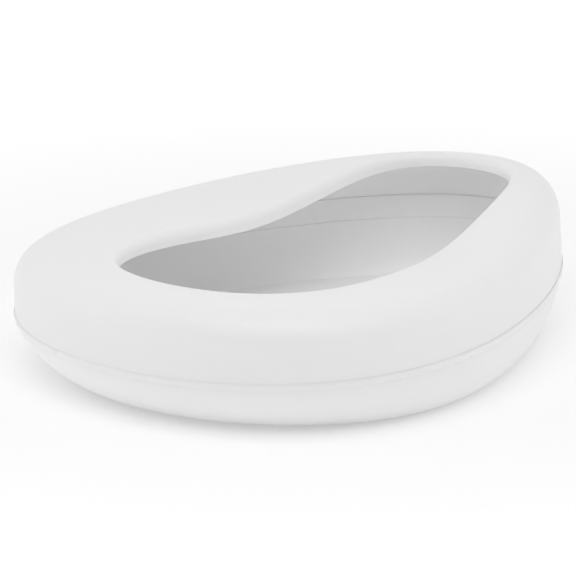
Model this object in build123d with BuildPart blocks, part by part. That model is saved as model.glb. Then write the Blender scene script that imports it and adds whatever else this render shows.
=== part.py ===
from build123d import *
from math import asin, atan2, cos, hypot, pi, radians, sin, tan
import os

# A contoured bedpan, in millimetres. +X points to the raised front end, +Z up.
# The origin is on the floor, under the middle of the pan's length and width.
# Two thin plastic shells make it: a seat shell with a rolled-in lip, and a shallow
# bowl whose rim stands up inside the seat shell's skirt. A weld bead closes the seam.

# Plan outlines. Each is an egg with its wide end to the rear:
# x = centre + half_length * cos(a), y = half_width * sin(a) * (1 + k1 c + k2 c^2 + k3 c^3)
seam_outline = dict(centre=0.0, half_length=189.29, half_width=145.2, shape=(-0.287, 0.046, 0.045))
mouth_outline = dict(centre=11.0, half_length=145.5, half_width=74.5, shape=(-0.31, 0.42, 0.09))
base_outline = dict(centre=0.4, half_length=161.0, half_width=128.4, shape=(-0.281, 0.041, 0.189))
outline_points = 36

wall = 2.2                    # moulded wall of both shells
half_length = 190.0           # of the whole pan

seam_height = 35.6            # at mid-length
seam_slope = 0.0307           # the seam climbs towards the front

crown_height = 75.9           # highest line of the deck's outer edge, at mid-length
crown_shape = (18.6, 4.6, -8.4)    # its change with the first three powers of x / half_length
shoulder_radius = 18.7        # between skirt and deck
skirt_lean = 0.045            # the skirt leans in as it rises, more so at the front
skirt_lean_change = 0.045
skirt_trim = 2.0              # the skirt is made this much too long, then cut on the seam

lip_height = 63.0             # deck at the mouth, along the seat
lip_fall = 0.018              # the seat dips gently towards its middle
lip_rise = 31.8               # how much higher the mouth's edge is at the front
lip_rise_start = -21.0
lip_rise_run = 194.0
lip_radius = 5.5              # the lip is rolled down into the pan
lip_depth = 9.0               # from the deck to the lip's cut edge
section_step = 10             # degrees between the seat shell's cross-sections

bowl_roundness = 1.36         # 1 would make the bowl's wall a quarter ellipse; more is flatter
bowl_levels = (0, 20, 40, 60, 75, 90)    # where the wall is drawn, 0 at the base, 90 at the seam
upstand_height = 16.0         # bowl rim that stands inside the skirt
upstand_wall = 1.7            # at its foot
upstand_tip = 1.0             # at its top edge
weld_overlap = 0.3            # the upstand is drawn this far into the skirt, then cut back to it

bead_height = 3.8             # weld bead that covers the seam
bead_proud = 0.8
bead_clearance = 0.12         # the bead rests on the bowl's rim and clears the skirt by this


def outline_point(outline, angle, inset=0.0):
    """A point of an egg outline, with its two half-sizes reduced by inset."""
    k1, k2, k3 = outline["shape"]
    c, s = cos(angle), sin(angle)
    swell = 1 + k1 * c + k2 * c**2 + k3 * c**3
    x = outline["centre"] + (outline["half_length"] - inset) * c
    y = (outline["half_width"] * swell - inset) * s
    return x, y


def seam_curve(inset=0.0, shift=0.0):
    """Closed smooth curve of the seam's outline, moved by shift along X."""
    points = []
    for i in range(outline_points):
        x, y = outline_point(seam_outline, 2 * pi * i / outline_points, inset)
        points.append((x + shift, y))
    return Spline(*points, periodic=True)


def tilted_plane(height, slope):
    """Plane that crosses the Z axis at height and climbs by slope towards +X."""
    return Plane(origin=(0, 0, height), x_dir=(1, 0, slope), z_dir=(-slope, 0, 1))


def seam_z(x):
    return seam_height + seam_slope * x


def crown_z(x):
    share = x / half_length
    return crown_height + sum(k * share ** (i + 1) for i, k in enumerate(crown_shape))


def lip_z(x):
    """Height of the deck at the mouth: low along the seat, then a smooth rise to the front."""
    u = min(max((x - lip_rise_start) / lip_rise_run, 0.0), 1.0)
    return lip_height - lip_fall * x + lip_rise * u**3 * (u * (6 * u - 15) + 10)


def section_plane(angle):
    """Upright plane through matching points of the mouth and the seam.

    Its origin is below the mouth's edge, its x points outwards and its y up."""
    inner = Vector(*outline_point(mouth_outline, angle))
    outer = Vector(*outline_point(seam_outline, angle))
    outwards = (outer - inner).normalized()
    plane = Plane(origin=inner, x_dir=outwards, z_dir=outwards.cross(Vector(0, 0, 1)))
    return plane, inner, outer


def shoulder_corner(reach, seam, crown, lip, lean):
    """Where the skirt's line and the deck's line would meet if the shoulder weren't rounded.

    The deck's line starts at the mouth and touches a shoulder circle whose top is at crown."""
    centre_x = reach - lean * (crown - shoulder_radius - seam) - shoulder_radius
    centre_y = crown - shoulder_radius
    rise = centre_y - lip
    deck_angle = atan2(rise, centre_x) + asin(shoulder_radius / hypot(centre_x, rise))
    # Skirt: x = reach - lean * (y - seam). Deck: y = lip + x * tan(deck_angle).
    x = (reach - lean * (lip - seam)) / (1 + lean * tan(deck_angle))
    return x, lip + x * tan(deck_angle)


seam_plane = tilted_plane(seam_height, seam_slope)

# Seat shell: the same cross-section all round the pan, lofted round one half and mirrored.
# Sections just past the middle plane keep the surface smooth across it.
with BuildPart() as seat_shell:
    for degrees in range(-section_step, 180 + 2 * section_step, section_step):
        plane, inner, outer = section_plane(radians(degrees))
        reach = (outer - inner).length
        seam, crown, lip = seam_z(outer.X), crown_z(outer.X), lip_z(inner.X)
        lean = skirt_lean + skirt_lean_change * outer.X / half_length
        with BuildSketch(plane):
            with BuildLine():
                face_line = FilletPolyline(
                    (reach + lean * skirt_trim, seam - skirt_trim),
                    shoulder_corner(reach, seam, crown, lip, lean),
                    (0, lip),
                    (0, lip - lip_depth),
                    radius=[shoulder_radius, lip_radius],
                )
                offset(face_line, amount=wall, side=Side.LEFT)
            make_face()
    loft()
    split(bisect_by=Plane.XZ, keep=Keep.BOTTOM)
    split(bisect_by=seam_plane, keep=Keep.TOP)
    mirror(about=Plane.XZ)


def bowl_level(level, floor, base_inset, rim_inset):
    """Plane and outline points of the bowl's wall at one level between floor and seam."""
    angle = radians(level)
    spread = sin(angle) ** bowl_roundness
    climb = 1 - cos(angle) ** bowl_roundness
    points = []
    for i in range(outline_points):
        around = 2 * pi * i / outline_points
        base_x, base_y = outline_point(base_outline, around, base_inset)
        rim_x, rim_y = outline_point(seam_outline, around, rim_inset)
        points.append((base_x + (rim_x - base_x) * spread, base_y + (rim_y - base_y) * spread))
    return tilted_plane(floor + (seam_height - floor) * climb, seam_slope * climb), points


# Bowl shell: a rounded bowl with a ledge at the seam, where the skirt sits.
# Inside the ledge its rim stands up, welded to the inner face of the skirt.
with BuildPart() as bowl_cavity:
    for level in bowl_levels:
        plane, points = bowl_level(level, floor=wall, base_inset=wall / 2, rim_inset=2 * wall)
        with BuildSketch(plane):
            with BuildLine():
                Spline(*points, periodic=True)
            make_face()
    loft()

with BuildPart() as bowl_shell:
    for level in bowl_levels:
        plane, points = bowl_level(level, floor=0.0, base_inset=0.0, rim_inset=0.0)
        with BuildSketch(plane):
            with BuildLine():
                Spline(*points, periodic=True)
            make_face()
    loft()
    add(bowl_cavity.part, mode=Mode.SUBTRACT)
    for foot, tip, mode in (
        (-weld_overlap, -weld_overlap, Mode.ADD),
        (upstand_wall, upstand_tip, Mode.SUBTRACT),
    ):
        for height, depth in ((0.0, foot), (upstand_height, tip)):
            with BuildSketch(tilted_plane(seam_height + height, seam_slope)):
                with BuildLine():
                    seam_curve(
                        inset=wall + depth + skirt_lean * height,
                        shift=-skirt_lean_change * height,
                    )
                make_face()
        loft(mode=mode)
    add(seat_shell.part, mode=Mode.SUBTRACT)

# Weld bead: a rounded band swept round the outside of the seam.
with BuildPart() as weld_bead:
    with BuildLine(seam_plane) as seam_line:
        seam_curve()
    across_seam = Plane(origin=seam_line.line @ 0, z_dir=-(seam_line.line % 0), x_dir=seam_plane.x_dir)
    with BuildSketch(across_seam):
        with BuildLine():
            Polyline(
                (bead_clearance, bead_height / 2),
                (bead_clearance, 0),
                (0, 0),
                (0, -bead_height / 2),
            )
            ThreePointArc((0, -bead_height / 2), (bead_proud, 0), (bead_clearance, bead_height / 2))
        make_face()
    sweep(path=seam_line.line)

os.makedirs("parts", exist_ok=True)

seat_shell.part.label = "seat_shell"
export_step(seat_shell.part, "parts/seat_shell.step")
bowl_shell.part.label = "bowl_shell"
export_step(bowl_shell.part, "parts/bowl_shell.step")
weld_bead.part.label = "weld_bead"
export_step(weld_bead.part, "parts/weld_bead.step")
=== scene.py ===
from math import cos, radians, sin

import bpy
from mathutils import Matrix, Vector


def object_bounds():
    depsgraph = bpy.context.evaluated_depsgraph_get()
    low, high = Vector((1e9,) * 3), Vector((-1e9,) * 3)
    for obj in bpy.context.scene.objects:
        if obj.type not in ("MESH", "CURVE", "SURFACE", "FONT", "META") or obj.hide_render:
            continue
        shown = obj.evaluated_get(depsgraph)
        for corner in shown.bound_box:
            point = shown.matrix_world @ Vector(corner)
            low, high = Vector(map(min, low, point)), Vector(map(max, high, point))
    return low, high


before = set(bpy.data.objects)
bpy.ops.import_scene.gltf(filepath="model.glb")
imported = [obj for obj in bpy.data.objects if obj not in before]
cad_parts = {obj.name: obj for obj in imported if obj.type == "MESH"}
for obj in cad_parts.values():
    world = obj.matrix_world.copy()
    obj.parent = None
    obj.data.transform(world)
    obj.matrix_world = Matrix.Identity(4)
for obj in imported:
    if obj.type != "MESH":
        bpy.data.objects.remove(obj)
cad_low, cad_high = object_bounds()

# A contoured hospital bedpan in satin white plastic. Its two shells and the weld bead are the
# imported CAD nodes; this script gives them their materials and sets the studio round them.
# Metres, +X to the raised front of the pan, +Z up. Angles are from straight in front of the
# pan's right-hand side, positive towards its front.

VIEW_AZIMUTH = -48.3        # degrees: the camera looks past the wide end, from its right
VIEW_ELEVATION = 14.7
VIEW_DISTANCE = 1.10
VIEW_LENS = 112.5           # mm, on a 36 mm sensor
VIEW_SHIFT = (-0.0575, -0.0465)
AIM = Vector((0, 0, 0.05))


def direction(azimuth, elevation):
    """Unit vector from the pan towards a place in the studio."""
    a, e = radians(azimuth), radians(elevation)
    return Vector((sin(a) * cos(e), -cos(a) * cos(e), sin(e)))


def camera():
    """Long lens at the studio's three-quarter view, a little above the pan."""
    back = direction(VIEW_AZIMUTH, VIEW_ELEVATION)
    data = bpy.data.cameras.new("camera")
    data.sensor_width = 36.0
    data.lens = VIEW_LENS
    data.shift_x, data.shift_y = VIEW_SHIFT
    data.clip_end = 50
    eye = bpy.data.objects.new("camera", data)
    eye.location = AIM + back * VIEW_DISTANCE
    eye.rotation_euler = (-back).to_track_quat("-Z", "Y").to_euler()
    bpy.context.scene.collection.objects.link(eye)
    bpy.context.scene.camera = eye


camera()


class Nodes:
    """A new material's node tree, with short calls to add and join nodes."""

    def __init__(self, name):
        self.material = bpy.data.materials.new(name)
        self.material.use_nodes = True
        self.tree = self.material.node_tree
        self.shader = self.tree.nodes["Principled BSDF"]
        self.place = self.add("ShaderNodeTexCoord").outputs["Object"]

    def add(self, kind, **settings):
        node = self.tree.nodes.new(kind)
        for key, value in settings.items():
            if hasattr(node, key):
                setattr(node, key, value)
            else:
                node.inputs[key.replace("_", " ")].default_value = value
        return node

    def join(self, out, into):
        self.tree.links.new(out, into)

    def noise(self, scale, detail=2.0, stretch=None):
        """Noise over the object's own space, in features per metre, stretched if asked."""
        place = self.place
        if stretch:
            mapping = self.add("ShaderNodeMapping", Scale=stretch)
            self.join(place, mapping.inputs["Vector"])
            place = mapping.outputs["Vector"]
        texture = self.add("ShaderNodeTexNoise", Scale=scale, Detail=detail)
        self.join(place, texture.inputs["Vector"])
        return texture.outputs["Fac"]

    def between(self, fac, low, high, from_low=0.0, from_high=1.0):
        """fac spread over low to high."""
        spread = self.add("ShaderNodeMapRange", From_Min=from_low, From_Max=from_high,
                          To_Min=low, To_Max=high)
        self.join(fac, spread.inputs["Value"])
        return spread.outputs["Result"]

    def tint(self, fac, low, high):
        """Base colour that varies from low to high with fac."""
        colour = self.add("ShaderNodeMix", data_type="RGBA")
        colour.inputs[6].default_value = low
        colour.inputs[7].default_value = high
        self.join(fac, colour.inputs[0])
        self.join(colour.outputs[2], self.shader.inputs["Base Color"])

    def bump(self, height, distance, strength, under=None):
        """Relief of up to distance metres, on top of the relief under it if given."""
        node = self.add("ShaderNodeBump", Strength=strength, Distance=distance)
        self.join(height, node.inputs["Height"])
        if under:
            self.join(under, node.inputs["Normal"])
        return node.outputs["Normal"]


def white_plastic(name, tone, roughness):
    """Satin polypropylene: soft light under the skin, mould grain, flow marks and fine scuffs."""
    m = Nodes(name)

    flow = m.noise(7.0, detail=2.0, stretch=(0.6, 1.0, 1.6))
    m.tint(flow, (tone * 0.985, tone * 0.985, tone * 0.985, 1), (tone, tone, tone * 0.998, 1))

    scuffs = m.noise(90.0, detail=5.0, stretch=(0.25, 1.0, 1.0))
    m.join(m.between(scuffs, roughness - 0.05, roughness + 0.08, 0.3, 0.7),
           m.shader.inputs["Roughness"])

    grain = m.bump(m.noise(1100.0, detail=3.0), distance=0.0001, strength=0.10)
    swell = m.bump(m.noise(16.0, detail=1.0), distance=0.0008, strength=0.08, under=grain)
    m.join(swell, m.shader.inputs["Normal"])

    m.shader.inputs["Subsurface Weight"].default_value = 0.1
    m.shader.inputs["Subsurface Radius"].default_value = (1.0, 0.97, 0.94)
    m.shader.inputs["Subsurface Scale"].default_value = 0.002
    m.shader.inputs["IOR"].default_value = 1.49
    return m.material


def dress(node, material):
    """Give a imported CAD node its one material."""
    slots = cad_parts[node].data.materials
    slots.clear()
    slots.append(material)


def paper(name, tone, glow):
    """Matt studio paper with a barely visible tooth and a painted glow: no lamp, the paper itself
    emits more light the further it is from the pan.
    """
    m = Nodes(name)
    m.tint(m.noise(40.0), (tone * 0.99, tone * 0.99, tone * 0.99, 1), (tone, tone, tone, 1))
    m.shader.inputs["Roughness"].default_value = 0.9
    m.shader.inputs["Specular IOR Level"].default_value = 0.1
    away = m.add("ShaderNodeVectorMath", operation="LENGTH")
    m.join(m.place, away.inputs[0])
    # Painted glow: emission 0.2 by the pan, rising to glow far off, paints out the pan's shadow
    # and lights its underside.
    m.shader.inputs["Emission Color"].default_value = (1, 1, 1, 1)
    m.join(m.between(away.outputs["Value"], 0.2, glow, 0.25, 1.1),
           m.shader.inputs["Emission Strength"])
    return m.material


def floor():
    """Pale paper floor at the pan's base, far larger than the picture."""
    size = 20.0
    corners = [(-size, -size, 0), (size, -size, 0), (size, size, 0), (-size, size, 0)]
    mesh = bpy.data.meshes.new("floor")
    mesh.from_pydata(corners, [], [(0, 1, 2, 3)])
    plane = bpy.data.objects.new("floor", mesh)
    plane.location.z = cad_low.z
    bpy.context.scene.collection.objects.link(plane)
    # The paper's emission is a painted glow up to 0.46, not a lamp.
    mesh.materials.append(paper("floor_paper", tone=0.88, glow=0.46))


def softbox(name, azimuth, elevation, distance, size, watts):
    """Rectangular soft light that faces the pan."""
    data = bpy.data.lights.new(name, "AREA")
    data.shape = "RECTANGLE"
    data.size, data.size_y = size
    data.energy = watts
    lamp = bpy.data.objects.new(name, data)
    towards = direction(azimuth, elevation)
    lamp.location = AIM + towards * distance
    lamp.rotation_euler = towards.to_track_quat("Z", "Y").to_euler()
    bpy.context.scene.collection.objects.link(lamp)


def glow_lamp(name, place, watts):
    """Unseen soft lamp in the bowl, for the light that comes through thin white walls."""
    data = bpy.data.lights.new(name, "POINT")
    data.energy = watts
    data.shadow_soft_size = 0.04
    lamp = bpy.data.objects.new(name, data)
    lamp.location = place
    lamp.visible_camera = False
    lamp.visible_glossy = False
    bpy.context.scene.collection.objects.link(lamp)


def white_room(name, strength, dimming):
    """White surroundings, dimmed by a share towards the camera's side."""
    world = bpy.data.worlds.new(name)
    world.use_nodes = True
    tree = world.node_tree
    place = tree.nodes.new("ShaderNodeTexCoord")
    facing = tree.nodes.new("ShaderNodeVectorMath")
    facing.operation = "DOT_PRODUCT"
    facing.inputs[1].default_value = direction(VIEW_AZIMUTH, 0)
    level = tree.nodes.new("ShaderNodeMapRange")
    level.inputs["To Min"].default_value = strength
    level.inputs["To Max"].default_value = strength * (1 - dimming)
    tree.links.new(place.outputs["Generated"], facing.inputs[0])
    tree.links.new(facing.outputs["Value"], level.inputs["Value"])
    tree.links.new(level.outputs["Result"], tree.nodes["Background"].inputs["Strength"])
    tree.nodes["Background"].inputs["Color"].default_value = (1, 1, 1, 1)
    bpy.context.scene.world = world


def studio():
    """White room, darker behind the camera, with a soft light above it and one at each side.

    The lamps in the bowl are weak and unseen."""
    bpy.context.scene.view_settings.view_transform = "Standard"
    white_room("white_room", strength=0.72, dimming=0.75)
    softbox("high", VIEW_AZIMUTH, 62, 1.6, (1.4, 1.1), 8.0)
    softbox("left", VIEW_AZIMUTH - 85, 22, 1.6, (0.8, 1.2), 1.4)
    softbox("right", VIEW_AZIMUTH + 85, 22, 1.6, (0.8, 1.2), 0.8)
    for name, x in (("rear_glow", -0.08), ("middle_glow", 0.0), ("front_glow", 0.08)):
        glow_lamp(name, (x, 0, 0.062), 0.018)


shell_plastic = white_plastic("shell_plastic", tone=0.96, roughness=0.38)
weld_plastic = white_plastic("weld_plastic", tone=0.97, roughness=0.30)
dress("seat_shell", shell_plastic)
dress("bowl_shell", shell_plastic)
dress("weld_bead", weld_plastic)
floor()
studio()
